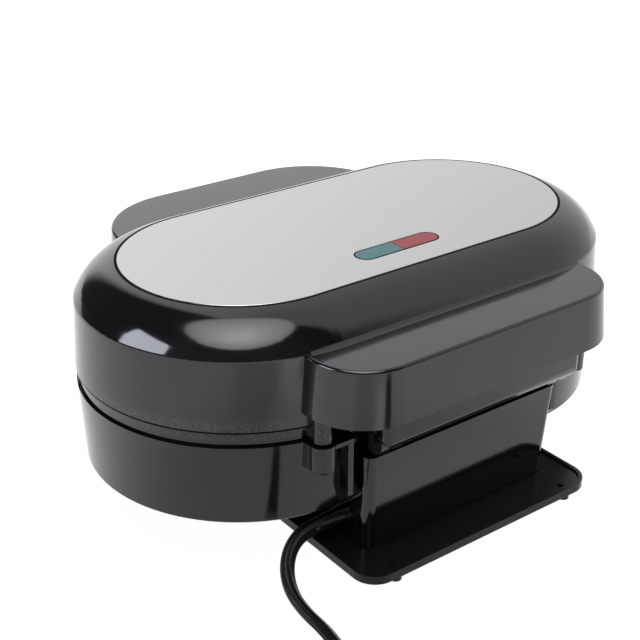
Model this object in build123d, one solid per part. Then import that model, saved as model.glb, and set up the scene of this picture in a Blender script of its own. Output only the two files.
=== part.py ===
from build123d import *
import math
import os

os.makedirs("parts", exist_ok=True)

# Electric omelette maker: a racetrack-shaped cooker with two half-moon wells.
# Millimetres, +Z up, feet at Z = 0, handle towards -Y, hinge towards +Y.
# Everything is drawn about the cooker's own centre line and moved by BODY_Y when it is written,
# so that the middle of the whole object's box (without its cord) is at X = 0, Y = 0.

# ---- driving dimensions ------------------------------------------------------------------------
STRAIGHT = 53.4            # half the straight side of every racetrack outline
WALL = 2.5                 # moulded wall
DRAFT = 5.3                # draft of the lid's two overhangs, degrees

# heights
FEET_H = 1.7
PLATE_TOP = 5.5
TUB_BOTTOM = 24.2
RIM_H = 57.4               # rim of the lower shell
LID_LOW = 58.6             # underside of the lid's frame
LID_SEAM = 64.2            # lower edge of the lid shell
OVERHANG_LOW = 69.8        # lower edge of handle and hinge cover
OVERHANG_TOP = 92.0
CREASE_H = 91.7            # line between the lid's wall and its shoulder
TOP_H = 105.4              # top of the steel plate
PARTING_H = 58.2           # half way between the two cooking plates

# distances out from the centre line
TRIM_R = 48.0
CREASE_R = 65.5
LID_R = 67.0               # at the lid's lower edge
FRAME_R = 65.8
RIM_R = 66.8
TUB_LOW_R = 65.2
CREASE_ROUND = 3.0
COVE = 2.4                 # reach of the concave fillet at the root of the overhangs' tops

# handle and hinge cover, both measured at their upper edge
OVERHANG_X = 69.5
HANDLE_Y = 106.8
HANDLE_CORNER = 40.6
HINGE_COVER_Y = 90.4
HINGE_COVER_CORNER = 22.8

# pillar (column and neck) of the lower shell
PILLAR_TOP = 47.1
PILLAR_TOP_X = 49.6
PILLAR_LOW_X = 47.6
PILLAR_BACK_TOP = 76.0
PILLAR_BACK_LOW = 73.4
PILLAR_FRONT = -48.0
PILLAR_CORNER = 1.6

# base plate
BASE_X = 60.0
BASE_BACK = 91.0
BASE_FRONT = -63.0
BASE_CORNER = 10.1

# hinge
AXIS_Y = 78.0
AXIS_H = 55.5
PIN_R = 2.0
KNUCKLE_R = 4.4
BASE_EAR_X = (38.0, 43.0)
LID_EAR_X = (44.0, 49.0)
BAND_Y = 87.1
BAND_X = 50.2
BAND_WALL = 2.4
BAND_ROLL_R = 7.0          # the band's lower edge is rolled in round this radius
BAND_ROLL_H = 61.2
BAND_ROLL_TURN = 58.0
BAND_CORNER = 6.0
BAND_TOP = 72.0
RUNNING_FIT = 0.06

# screw bosses at the back corners, each widening to where it meets the wall
BOSS_X = 65.4
BOSS_Y = 68.6
LID_BOSS = (3.9, 4.3)      # radius, and half the width at the wall
BASE_BOSS = (5.2, 6.9)
BASE_BOSS_LOW = 46.0
BOSS_TURN = math.degrees(math.atan2(BOSS_X - STRAIGHT, BOSS_Y))

# walls beside the column
CHEEK_X = (52.5, 55.0)
CHEEK_BACK = 70.7
CHEEK_LOW = 31.0
CHEEK_CUT = 3.9            # the lower corner is cut off
LEDGE_BACK = 73.2
LEDGE_T = 1.7

# cooking plates
FLANGE_R = 60.0
FLANGE_T = 2.4
PLATE_GAP = 0.6
WELL_R = 54.5
WELL_DEPTH = 13.0
WELL_DRAFT = 20.0
WELL_WALL = 2.2
DIVIDER = 4.0              # half the width of the bar between the wells
ELEMENT_R = 3.25
SHEET = 0.6

# indicator window
WINDOW_Y = 30.7
WINDOW_L = 40.0
WINDOW_W = 8.9

# front latch
LATCH_Y = -76.5
LATCH_H = 66.6
LATCH_PIN_R = 1.5
LATCH_HALF = 12.0
LATCH_RELEASED = 18.0      # degrees that the latch stands away from its engaged place

OVERHANG_GROWTH = (OVERHANG_TOP - OVERHANG_LOW) * math.tan(math.radians(DRAFT))
BODY_Y = (HANDLE_Y - HINGE_COVER_Y) / 2

# flat two-core cord, as a round tube of the cord's width
CORD_D = 7.0
RELIEF_TIP = (59.0, 68.6, 15.2)
ROUTE = [
    RELIEF_TIP,
    (68.0, 68.6, 15.2),
    (76.8, 72.0, 13.0),
    (83.4, 78.6, 9.4),
    (87.0, 87.2, 6.0),
    (87.8, 96.8, 4.0),
    (87.6, 107.8, 3.5),
    (89.5, 118.4, 3.5),
    (89.5, 128.0, 3.5),
]
COIL_CENTRE = (128.0, 163.0)
COIL_MID_R = 38.5


# ---- helpers -----------------------------------------------------------------------------------
def save(node, shape):
    """Write one node, moved so that the whole object's box is centred."""
    export_step(Pos(0, BODY_Y, 0) * shape, f"parts/{node}.step")


def section(*points):
    """A closed section drawn as (distance out, height)."""
    return make_face(Polyline(*points, close=True))


def racetrack(face):
    """Carry a section round the racetrack: along one straight, round one end, and the same again."""
    start = Plane(origin=(STRAIGHT, 0, 0), x_dir=(0, -1, 0), z_dir=(-1, 0, 0))
    placed = start * face
    side = extrude(placed, amount=2 * STRAIGHT)
    turn = revolve(placed, Axis((STRAIGHT, 0, 0), (0, 0, 1)), 180)
    half = side + turn
    return half + half.rotate(Axis.Z, 180)


def stadium(radius):
    return SlotCenterToCenter(2 * STRAIGHT, 2 * radius)


def stadium_block(radius, low, high):
    return Pos(0, 0, low) * extrude(stadium(radius), amount=high - low)


def plan(half_x, front, back, corner):
    """A rounded rectangle seen from above, symmetrical in X."""
    return Pos(0, (front + back) / 2) * RectangleRounded(2 * half_x, back - front, corner)


def slab(sketch, low, high, taper=0.0):
    return extrude(Pos(0, 0, low) * sketch, amount=high - low, taper=taper)


def box(x, y, h):
    """A box between two values in each direction."""
    size = (x[1] - x[0], y[1] - y[0], h[1] - h[0])
    return Pos(sum(x) / 2, sum(y) / 2, sum(h) / 2) * Box(*size)


def rod(radius, low, high, x=0.0, y=0.0):
    return Pos(x, y, (low + high) / 2) * Cylinder(radius, high - low)


def cross_rod(radius, x, y, h):
    """A cylinder along X between two values of x."""
    return Pos(sum(x) / 2, y, h) * Rot(0, 90, 0) * Cylinder(radius, x[1] - x[0])


def both_sides(shape):
    return shape + mirror(shape, about=Plane.YZ)


def apart(shapes):
    """Solids that stay separate but share one node."""
    return Part() + list(shapes)


def upside_down(shape):
    """The lid's copy of a piece of the base, mirrored about the parting plane."""
    return mirror(shape, about=Plane.XY.offset(PARTING_H))


def edges_at(shape, height, tolerance=0.05):
    return shape.edges().filter_by_position(Axis.Z, height - tolerance, height + tolerance)


# ---- lid ---------------------------------------------------------------------------------------
def overhang_sketch(half_x, reach, corner, inset, sign):
    """Lower outline of the handle (sign -1) or the hinge cover (sign +1), drawn in by inset."""
    grow = OVERHANG_GROWTH - inset
    front, back = sorted((0.0, sign * (reach + grow)))
    return plan(half_x + grow, front, back, corner + grow)


def overhangs(inset, top):
    handle = overhang_sketch(OVERHANG_X, HANDLE_Y, HANDLE_CORNER, inset, -1)
    cover = overhang_sketch(OVERHANG_X, HINGE_COVER_Y, HINGE_COVER_CORNER, inset, 1)
    return [slab(outline, OVERHANG_LOW, top, DRAFT) for outline in (handle, cover)]


def shoulder(inset):
    """Convex arc from the lid's crease up to the edge of its flat top."""
    crease = (CREASE_R - inset, CREASE_H - 0.3 * inset)
    edge = (TRIM_R + 0.9 - 0.5 * inset, TOP_H - 0.2 - inset)
    bulge = ((crease[0] + edge[0]) / 2 + 1.6, (crease[1] + edge[1]) / 2 + 1.9)
    return ThreePointArc(crease, bulge, edge)


def dome_section(inset):
    """Half section of the lid: wall, softened crease, convex shoulder and flat top."""
    arc = shoulder(inset)
    crease, edge = arc @ 0, arc @ 1
    outline = make_face(Curve() + [
        Line((0, LID_SEAM), (LID_R - inset, LID_SEAM)),
        Line((LID_R - inset, LID_SEAM), crease),
        arc,
        Line(edge, (0, edge.Y)),
        Line((0, edge.Y), (0, LID_SEAM)),
    ])
    return fillet(outline.vertices().sort_by_distance(crease)[0], CREASE_ROUND)


def coves():
    """Concave fillets where the overhangs' flat tops run into the shoulder.

    Each is a ring round the dome, cut to its overhang's top by a cutter that slopes in, so
    that the fillet fades out at both ends. Its arc starts and ends just under the surfaces.
    """
    sink = 0.06
    bed = OVERHANG_TOP - 1.0
    arc = shoulder(0)
    along = COVE / arc.length
    turn = math.atan2((arc % along).Y, -(arc % along).X)
    corner = Vector(CREASE_R - 0.2, OVERHANG_TOP)
    foot = corner + Vector(COVE, -sink)
    head = arc @ along - Vector(sink, sink)
    middle = (foot + head) * 0.5
    sag = (head - foot).length / 2 * math.tan(turn / 4)
    ring = racetrack(make_face(Curve() + [
        ThreePointArc(foot, middle + (corner - middle).normalized() * sag, head),
        Line(head, (head.X, bed)),
        Line((head.X, bed), (foot.X, bed)),
        Line((foot.X, bed), foot),
    ]))
    tops = (
        overhang_sketch(OVERHANG_X, HANDLE_Y, HANDLE_CORNER, OVERHANG_GROWTH + 1.0, -1),
        overhang_sketch(OVERHANG_X, HINGE_COVER_Y, HINGE_COVER_CORNER, OVERHANG_GROWTH + 1.0, 1),
    )
    return [ring & slab(top, bed, bed + 4, 40) for top in tops]


def boss_pads(size, low, high):
    """Screw bosses outside the wall: round at the outside, wider at the root."""
    radius, root = size
    outline = Circle(radius) + make_face(Polyline(
        (-radius, 0), (radius, 0), (root, -5), (-root, -5), close=True,
    ))
    return both_sides(slab(Pos(BOSS_X, BOSS_Y) * Rot(0, 0, -BOSS_TURN) * outline, low, high))


def boss_rods(radius, low, high):
    return both_sides(rod(radius, low, high, BOSS_X, BOSS_Y))


HANDLE_SCREWS = (45.0, -88.0)
WINDOW_BOSS_X = 26.0


def lid_shell():
    outer = racetrack(dome_section(0))
    for block in overhangs(0, OVERHANG_TOP):
        outer += fillet(edges_at(block, OVERHANG_TOP), 1.3)
    for cove in coves():
        outer += cove
    shell = outer + boss_pads(LID_BOSS, LID_SEAM, OVERHANG_LOW + 1)
    shell -= racetrack(dome_section(WALL))
    for cavity in overhangs(WALL, OVERHANG_TOP - WALL):
        shell -= cavity
    posts = both_sides(rod(3.4, 73.2, OVERHANG_TOP - 1, *HANDLE_SCREWS))
    posts += boss_rods(LID_BOSS[0], LID_SEAM, OVERHANG_TOP - 1) & overhangs(1.0, OVERHANG_TOP - 1)[1]
    posts += both_sides(rod(3.0, 95.8, TOP_H - 2.5, WINDOW_BOSS_X, WINDOW_Y))
    shell += posts
    shell -= stadium_block(TRIM_R + 0.3, TOP_H - 1.1, TOP_H + 1)
    shell -= Pos(0, WINDOW_Y, TOP_H - 6) * extrude(SlotOverall(WINDOW_L + 0.5, WINDOW_W + 0.5), 8)
    shell -= both_sides(rod(1.5, 72, 86, *HANDLE_SCREWS))
    shell -= boss_rods(1.3, 60, 78)
    return shell


def lid_band():
    """Skirt that hangs from the lid and hides the hinge: lower edge rolled in, closed at both ends."""
    turn = math.radians(BAND_ROLL_TURN)
    centre_y = BAND_Y - BAND_ROLL_R

    def on_roll(radius, angle):
        return (centre_y + radius * math.cos(angle), BAND_ROLL_H - radius * math.sin(angle))

    def profile(radius, front, top):
        """Section through the band, from the plane y = front back to its outer face."""
        back = centre_y + radius
        lip = on_roll(radius, turn)
        edges = [
            Line((back, top), (back, BAND_ROLL_H)),
            ThreePointArc((back, BAND_ROLL_H), on_roll(radius, turn / 2), lip),
            Line(lip, (front, lip[1])),
            Line((front, lip[1]), (front, top)),
            Line((front, top), (back, top)),
        ]
        return Plane.YZ * make_face(Curve() + edges)

    inner_r = BAND_ROLL_R - BAND_WALL
    lip_y, lip_h = on_roll(BAND_ROLL_R, turn)
    inner_lip_y, inner_lip_h = on_roll(inner_r, turn)
    outer = extrude(profile(BAND_ROLL_R, centre_y + 0.9, BAND_TOP), amount=BAND_X, both=True)
    inner = extrude(profile(inner_r, centre_y - 10, BAND_TOP + 2), amount=BAND_X - BAND_WALL, both=True)
    below = box((-BAND_X, BAND_X), (centre_y - 10, inner_lip_y), (lip_h - 5, inner_lip_h))
    height = 2 * (BAND_TOP - lip_h)
    front_view = Plane(origin=(0, BAND_Y + 10, lip_h + height / 2), x_dir=(1, 0, 0), z_dir=(0, -1, 0))
    rounding = extrude(front_view * RectangleRounded(2 * BAND_X, height, BAND_CORNER), amount=60)
    return (outer - inner - below) & rounding


def knuckle(x, h_top, y_back):
    """A hinge ear of the lid: a round eye with an arm up to the lid's floor."""
    eye = cross_rod(KNUCKLE_R, x, AXIS_Y, AXIS_H)
    arm = box(x, (AXIS_Y - KNUCKLE_R, y_back), (AXIS_H, h_top))
    return eye + arm


GROOVE = 0.5               # shadow line between the lid's shell and frame


def lid_frame():
    ring = racetrack(section(
        (57.8, 60.9), (60.2, 60.9), (60.2, LID_LOW), (FRAME_R, LID_LOW), (FRAME_R, LID_SEAM - GROOVE),
        (FRAME_R - 1.4, LID_SEAM - GROOVE), (FRAME_R - 1.4, LID_SEAM),
        (62.7, LID_SEAM), (62.7, 73.0), (61.0, 73.0), (61.0, 62.7), (57.8, 62.7),
    ))
    floors = [slab(block, 71.0, 73.0) for block in (
        overhang_sketch(OVERHANG_X, HANDLE_Y, HANDLE_CORNER, WALL + 0.5, -1),
        overhang_sketch(OVERHANG_X, HINGE_COVER_Y, HINGE_COVER_CORNER, WALL + 0.5, 1),
    )]
    frame = ring
    for floor in floors:
        frame += floor - stadium_block(61.5, 70, 74)
    frame += lid_band()
    frame += both_sides(knuckle(LID_EAR_X, 72.0, AXIS_Y + KNUCKLE_R))
    frame += boss_pads(LID_BOSS, LID_LOW, LID_SEAM)
    frame -= boss_rods(LID_BOSS[0] + 1.4, 70.5, 74)
    frame += both_sides(latch_ear())
    frame -= both_sides(cross_rod(PIN_R + RUNNING_FIT, (40, 48.3), AXIS_Y, AXIS_H))
    frame -= boss_rods(1.5, 50, 80) + boss_rods(2.8, 50, LID_LOW + 1.8)
    frame -= both_sides(rod(1.8, 65, 80, *HANDLE_SCREWS))
    frame -= stadium_block(FLANGE_R + 0.2, 55, 60.9)
    return frame


def latch_ear():
    """One of the two ears under the handle that carry the latch's pin."""
    x = (LATCH_HALF + 0.8, LATCH_HALF + 3.8)
    ear = cross_rod(3.2, x, LATCH_Y, LATCH_H) + box(x, (LATCH_Y - 3.2, LATCH_Y + 3.2), (LATCH_H, 72))
    return ear - cross_rod(LATCH_PIN_R + 0.02, (0, 30), LATCH_Y, LATCH_H)


def screw(length, head_r=3.0, shank_r=1.45, head_t=1.8):
    """A pan-head screw standing on its head, head underside at height 0."""
    head = Pos(0, 0, -head_t / 2) * Cylinder(head_r, head_t)
    head = chamfer(head.edges().sort_by(Axis.Z)[0], 0.6)
    slot = box((-head_r * 0.7, head_r * 0.7), (-0.4, 0.4), (-head_t - 1, -head_t + 0.7))
    cross = slot + slot.rotate(Axis.Z, 90)
    return head + rod(shank_r, 0, length) - cross


def upright(placed, height):
    """Turn screws made head down so that their heads are on top, undersides at height."""
    return Pos(0, 0, height) * mirror(placed, about=Plane.XY)


def screws(places, height, length, **size):
    return apart(Pos(x, y, height) * screw(length, **size) for x, y in places)


def top_trim_plate():
    plate = stadium_block(TRIM_R, TOP_H - 1.0, TOP_H)
    plate = fillet(edges_at(plate, TOP_H), 0.4)
    return plate - Pos(0, WINDOW_Y, TOP_H - 3) * extrude(SlotOverall(WINDOW_L + 0.7, WINDOW_W + 0.7), 6)


def lens(side):
    """Half of the indicator window: side +1 is at +X. A flange behind the lid's top holds it."""
    face = Pos(0, WINDOW_Y, 100.3) * extrude(SlotOverall(WINDOW_L, WINDOW_W), TOP_H + 0.1 - 100.3)
    flange = Pos(0, WINDOW_Y, 100.3) * extrude(SlotOverall(WINDOW_L + 5, WINDOW_W + 5), 2.2)
    keep = box((0.1, 40), (0, 60), (90, 120))
    half = (fillet(edges_at(face, TOP_H + 0.1), 0.35) + flange) & keep
    return half if side > 0 else mirror(half, about=Plane.YZ)


def lamp_bracket():
    board = Pos(0, WINDOW_Y, 94.2) * extrude(SlotOverall(66, 13), 1.6)
    holes = both_sides(rod(1.2, 90, 100, WINDOW_BOSS_X, WINDOW_Y))
    return board - holes


def indicator_lamps():
    """Two neon lamps lying under the window, each a short glass tube with softened ends."""
    tube = Cylinder(1.9, 9.0)
    tube = chamfer(tube.edges(), 0.7)
    lamp = Pos(10.5, WINDOW_Y, 97.7) * Rot(0, 90, 0) * tube
    return apart([lamp, mirror(lamp, about=Plane.YZ)])


# ---- cooking plates, shared by base and lid ------------------------------------------------------
def well(radius, divider, corner):
    """Outline of one half-moon well, on the +X side."""
    half = stadium(radius) & (Pos(100 + divider, 0) * Rectangle(200, 200))
    corners = half.vertices().group_by(Axis.X)[0]
    return fillet(corners, corner)


PLATE_FACE = PARTING_H - PLATE_GAP / 2
PLATE_BACK = PLATE_FACE - FLANGE_T
WELL_BACK = PLATE_FACE - WELL_DEPTH - WELL_WALL
REFLECTOR_H = 33.6
PLATE_POSTS = [(0.0, -26.0), (0.0, 26.0), (-77.0, 0.0), (77.0, 0.0)]


def cooking_plate():
    """Die-cast plate with two half-moon wells opening upwards."""
    plate = stadium_block(FLANGE_R, PLATE_BACK, PLATE_FACE)
    grow = WELL_WALL - FLANGE_T * math.tan(math.radians(WELL_DRAFT))
    back = extrude(
        Pos(0, 0, PLATE_BACK) * well(WELL_R + grow, DIVIDER - grow, 9 + grow),
        amount=WELL_BACK - PLATE_BACK, taper=WELL_DRAFT,
    )
    plate += both_sides(fillet(edges_at(back, WELL_BACK), 4.0))
    for x, y in PLATE_POSTS:
        plate += rod(3.6, REFLECTOR_H, WELL_BACK + 1 if x else PLATE_BACK + 1, x, y)
    hollow = extrude(
        Pos(0, 0, PLATE_FACE) * well(WELL_R, DIVIDER, 9), amount=-WELL_DEPTH, taper=WELL_DRAFT,
    )
    plate -= both_sides(fillet(edges_at(hollow, PLATE_FACE - WELL_DEPTH), 3.0))
    for x, y in PLATE_POSTS:
        plate -= rod(1.5, REFLECTOR_H - 1, REFLECTOR_H + 7, x, y)
    return plate


def heating_element():
    """Tubular element bent into an open loop, pressed against the backs of both wells."""
    level = WELL_BACK - ELEMENT_R
    lead_x = 16.0
    loop_y = 35.0
    loop_x = STRAIGHT + loop_y
    low = 31.4
    path = FilletPolyline(
        (-lead_x, loop_y, low), (-lead_x, loop_y, level), (-loop_x, loop_y, level),
        (-loop_x, -loop_y, level), (loop_x, -loop_y, level), (loop_x, loop_y, level),
        (lead_x, loop_y, level), (lead_x, loop_y, low),
        radius=[7.0, 34.0, 34.0, 34.0, 34.0, 7.0],
    )
    start = Plane(origin=path @ 0, z_dir=path % 0)
    tube = sweep(start * Circle(ELEMENT_R), path=path)
    tags = [box((s * lead_x - 3, s * lead_x + 3), (loop_y - 0.4, loop_y + 0.4), (low - 2.8, low + 1))
            for s in (-1, 1)]
    return tube + tags[0] + tags[1]


def reflector():
    """Pressed steel pan behind the element; its wall clamps the frame's ledge to the plate."""
    pan = racetrack(section(
        (0, REFLECTOR_H - SHEET), (55.6, REFLECTOR_H - SHEET), (58.9 + SHEET, 53.6), (58.9, 53.6),
        (55.2, REFLECTOR_H), (0, REFLECTOR_H),
    ))
    for x, y in PLATE_POSTS:
        pan -= rod(1.7, 30, 36, x, y)
    pan -= both_sides(rod(ELEMENT_R + 1.2, 30, 36, 16.0, 35.0))
    return pan - rod(10.5, 30, 36)


# ---- base --------------------------------------------------------------------------------------
def pillar_outline(half_x, front, back, corner, height):
    return Pos(0, 0, height) * plan(half_x, front, back, corner)


def pillar(inset, low, high):
    """Column and neck in one tapered form, drawn in by inset."""
    def at(height):
        share = (height - PLATE_TOP) / (PILLAR_TOP - PLATE_TOP)
        half_x = PILLAR_LOW_X + share * (PILLAR_TOP_X - PILLAR_LOW_X) - inset
        back = PILLAR_BACK_LOW + share * (PILLAR_BACK_TOP - PILLAR_BACK_LOW) - inset
        return pillar_outline(half_x, PILLAR_FRONT + inset, back, max(PILLAR_CORNER - inset, 0.6), height)
    return loft([at(low), at(high)])


def base_ear():
    """An ear of the hinge that reaches back over the column from its top."""
    eye = cross_rod(KNUCKLE_R, BASE_EAR_X, AXIS_Y, AXIS_H)
    arm = box(BASE_EAR_X, (68.0, AXIS_Y), (AXIS_H - KNUCKLE_R, RIM_H + 0.8))
    root = box(BASE_EAR_X, (66.0, AXIS_Y - KNUCKLE_R - 0.4), (PILLAR_TOP - 1, AXIS_H))
    return eye + arm + root - tub_form(0.15)


def cheek():
    """Wall beside the column, with a ledge out to the screw boss. It starts inside the tub's wall."""
    root = 62.0
    outline = Polyline(
        (root, RIM_H), (CHEEK_BACK, RIM_H), (CHEEK_BACK, CHEEK_LOW),
        (CHEEK_BACK - CHEEK_CUT, CHEEK_LOW - CHEEK_CUT), (root, CHEEK_LOW - CHEEK_CUT), close=True,
    )
    side = Plane(origin=(CHEEK_X[0], 0, 0), x_dir=(0, 1, 0), z_dir=(1, 0, 0))
    wall = extrude(side * make_face(outline), amount=CHEEK_X[1] - CHEEK_X[0])
    return wall + box((CHEEK_X[0], BOSS_X), (root, LEDGE_BACK), (RIM_H - LEDGE_T, RIM_H))


BASE_SCREWS = [(38.4, -41.6), (-38.4, -41.6), (38.2, 67.0), (-38.2, 67.0)]
NECK_SCREWS = [(24.0, -36.0), (-24.0, -36.0), (24.0, 52.0), (-24.0, 52.0)]
VENT_XS = (66.0, 74.0, 82.0, 90.0, 98.0)
CATCH_H = (52.4, 54.6)


def tub_form(grow):
    """The tub as a solid, its wall and floor moved out by grow."""
    top = RIM_H + max(grow, 0)
    return racetrack(section(
        (0, TUB_BOTTOM - grow), (TUB_LOW_R + grow, TUB_BOTTOM - grow), (RIM_R + grow, top), (0, top),
    ))


def lower_shell():
    outer = fillet(edges_at(tub_form(0), TUB_BOTTOM), 1.0)
    pads = boss_pads(BASE_BOSS, BASE_BOSS_LOW, RIM_H)
    outer += chamfer(edges_at(pads, BASE_BOSS_LOW), 1.2)
    outer += both_sides(cheek())
    inner = racetrack(section(
        (0, TUB_BOTTOM + WALL), (TUB_LOW_R - WALL, TUB_BOTTOM + WALL), (64.1, 55.5), (65.4, 55.5),
        (65.4, RIM_H + 1), (0, RIM_H + 1),
    ))
    shell = outer - inner
    shell -= boss_rods(1.5, 48, 60)
    shell -= wire_hole()
    for x, y in NECK_SCREWS:
        shell -= rod(1.8, TUB_BOTTOM - 1, TUB_BOTTOM + 4, x, y)
    for x in VENT_XS:
        slot = Pos(x, 0, TUB_BOTTOM - 1) * extrude(Rot(0, 0, 90) * SlotOverall(26, 3.2), WALL + 2)
        shell -= both_sides(slot)
    return shell


def pedestal():
    """Neck under the tub and column behind it: hollow, open below, with the two base ears on top."""
    body = pillar(0, PLATE_TOP, PILLAR_TOP) - tub_form(0)
    hollow = pillar(WALL, PLATE_TOP - 1, PILLAR_TOP - WALL) - tub_form(WALL)
    posts = apart(
        [rod(4.2, PLATE_TOP, TUB_BOTTOM - 1, x, y) for x, y in BASE_SCREWS]
        + [rod(4.0, TUB_BOTTOM - 12, TUB_BOTTOM - 1, x, y) for x, y in NECK_SCREWS]
    )
    body = body - hollow + posts + both_sides(base_ear())
    for x, y in BASE_SCREWS:
        body -= rod(1.5, PLATE_TOP - 1, 19.0, x, y)
    for x, y in NECK_SCREWS:
        body -= rod(1.5, TUB_BOTTOM - 10, TUB_BOTTOM + 1, x, y)
    body -= both_sides(cross_rod(PIN_R + 0.02, (30, 50), AXIS_Y, AXIS_H))
    return body - cord_hole() - wire_hole()


def wire_hole():
    """Passage for the wires from the neck up into the tub."""
    return Pos(0, 40, TUB_BOTTOM - 6) * extrude(SlotOverall(30, 14), 12)


def latch_catch():
    """Ledge riveted to the front wall, which the latch hooks under."""
    return box((-10, 10), (-70.4, -64.0), CATCH_H) - tub_form(0)


RELIEF_Y = RELIEF_TIP[1] - BODY_Y
RELIEF_H = RELIEF_TIP[2]


def cord_hole():
    return cross_rod(4.6, (38, 60), RELIEF_Y, RELIEF_H)


def base_plate():
    outline = plan(BASE_X, BASE_FRONT, BASE_BACK, BASE_CORNER)
    plate = slab(outline, FEET_H, PLATE_TOP)
    plate = fillet(edges_at(plate, FEET_H), 0.4)
    tray = slab(plan(BASE_X - 1.6, BASE_FRONT + 1.6, BASE_BACK - 1.6, BASE_CORNER - 1.6),
                PLATE_TOP - 0.9, PLATE_TOP + 1)
    seat = slab(pillar_outline(PILLAR_LOW_X - 0.3, PILLAR_FRONT + 0.3, PILLAR_BACK_LOW - 0.3, 1.3, 0),
                PLATE_TOP - 1.5, PLATE_TOP)
    plate = plate - tray + seat
    feet = [(45.5, BASE_BACK - 2.8), (-45.5, BASE_BACK - 2.8), (45.5, BASE_FRONT + 2.8),
            (-45.5, BASE_FRONT + 2.8)]
    for x, y in feet:
        plate += rod(2.5, 0, PLATE_TOP - 1, x, y)
        plate -= rod(1.3, PLATE_TOP - 2.0, PLATE_TOP, x, y - math.copysign(1.8, y))
    for x, y in BASE_SCREWS:
        plate -= rod(1.8, 0, 9, x, y) + rod(3.4, 0, FEET_H + 0.9, x, y)
    return plate


def lower_frame():
    """Heat-resistant ring that hangs in the shell's rim and carries the lower plate."""
    return racetrack(section(
        (57.8, 53.6), (57.8, PLATE_BACK), (60.2, PLATE_BACK), (60.2, RIM_H - 0.1), (65.2, RIM_H - 0.1),
        (65.2, 55.5), (63.9, 55.5), (63.9, 52.4), (62.1, 52.4), (62.1, 53.6),
    ))


def thermostat():
    """Bimetal disc thermostat under the middle of the lower plate, with two blade terminals."""
    body = rod(8.0, 35.0, WELL_BACK) + rod(9.5, 38.6, 39.6)
    for x in (-4.0, 4.0):
        body += box((x - 0.4, x + 0.4), (-3, 3), (28.8, 36))
    return body


def thermal_fuse():
    """Axial thermal cut-out in its sleeve, clipped under the reflector."""
    body = Pos(40, -8, 30.4) * Rot(0, 90, 0) * Cylinder(2.2, 13)
    leads = Pos(40, -8, 30.4) * Rot(0, 90, 0) * Cylinder(0.6, 30)
    clip = box((37, 43), (-9.2, -6.8), (32.0, REFLECTOR_H - SHEET))
    return body + leads + clip


def terminal_block():
    block = box((-19, 19), (16, 28), (PLATE_TOP, PLATE_TOP + 11))
    for x in (-12, 0, 12):
        block -= rod(2.0, PLATE_TOP + 5, PLATE_TOP + 12, x, 22)
        block -= Pos(x, 22, PLATE_TOP + 3.6) * Rot(90, 0, 0) * Cylinder(1.6, 20)
    return block


def hinge_pins():
    pin = cross_rod(PIN_R, (37.2, 48.0), AXIS_Y, AXIS_H)
    pin += cross_rod(3.2, (36.0, 37.2), AXIS_Y, AXIS_H)
    return apart([pin, mirror(pin, about=Plane.YZ)])


def latch():
    """Hooked flap under the handle, drawn engaged and turned out to its released place."""
    outline = Polyline(
        (-1.6, 2.0), (1.9, 1.2), (1.9, -15.0), (7.4, -15.8), (8.2, -18.4), (1.4, -20.2),
        (-5.2, -20.8), (-5.6, -18.6), (-1.6, -16.6), close=True,
    )
    side = Plane(origin=(-LATCH_HALF, 0, 0), x_dir=(0, 1, 0), z_dir=(1, 0, 0))
    flap = extrude(side * make_face(outline), amount=2 * LATCH_HALF)
    flap += cross_rod(3.0, (-LATCH_HALF, LATCH_HALF), 0, 0)
    flap -= cross_rod(LATCH_PIN_R + RUNNING_FIT, (-20, 20), 0, 0)
    return Pos(0, LATCH_Y, LATCH_H) * Rot(-LATCH_RELEASED, 0, 0) * flap


def latch_pin():
    reach = LATCH_HALF + 4.2
    return cross_rod(LATCH_PIN_R, (-reach, reach), LATCH_Y, LATCH_H)


# ---- cord --------------------------------------------------------------------------------------
def strain_relief():
    """Tapered sleeve on the side of the neck, with a collar inside the wall."""
    base_x = 44.2
    sleeve = Pos(base_x, 0, 0) * Rot(0, 90, 0) * extrude(Circle(4.5), RELIEF_TIP[0] - base_x, taper=1.6)
    collar = Pos(base_x - 1.0, 0, 0) * Rot(0, 90, 0) * Cylinder(5.2, 2.0)
    return Pos(0, RELIEF_Y, RELIEF_H) * (sleeve + collar)


def corner_radii(points):
    """The largest arc that each corner's two runs allow."""
    radii = []
    for before, corner, after in zip(points, points[1:], points[2:]):
        a = Vector(corner) - Vector(before)
        b = Vector(after) - Vector(corner)
        half_turn = math.radians(a.get_angle(b)) / 2
        radii.append(0.45 * min(a.length, b.length) / math.tan(half_turn))
    return radii


def power_cord():
    radii = corner_radii(ROUTE)
    path = FilletPolyline(*ROUTE, radius=radii)
    start = Plane(origin=path @ 0, z_dir=path % 0)
    tube = sweep(start * Circle(CORD_D / 2), path=path)
    print("cord radii", [round(r, 1) for r in radii])
    print("cord length", round(path.length, 1), "volume over section times length",
          round(tube.volume / (math.pi * CORD_D**2 / 4 * path.length), 4))
    return tube


def cord_coil():
    """Outer shape of three turns of cord lying two deep, with the straight that leads in."""
    ring = Cylinder(COIL_MID_R + CORD_D, 2 * CORD_D) - Cylinder(COIL_MID_R - CORD_D, 2 * CORD_D)
    ring = Pos(COIL_CENTRE[0], COIL_CENTRE[1], CORD_D) * ring
    in_x, in_y, in_h = ROUTE[-1]
    lead_in = Pos(in_x, in_y, in_h) * Rot(-90, 0, 0) * extrude(Circle(CORD_D / 2), 30)
    out_x = COIL_CENTRE[0] + COIL_MID_R
    lead_out = Pos(out_x, PLUG_Y, CORD_D / 2) * Rot(-90, 0, 0) * extrude(Circle(CORD_D / 2), 30)
    return ring + lead_in + lead_out


PLUG_Y = 132.0


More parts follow.
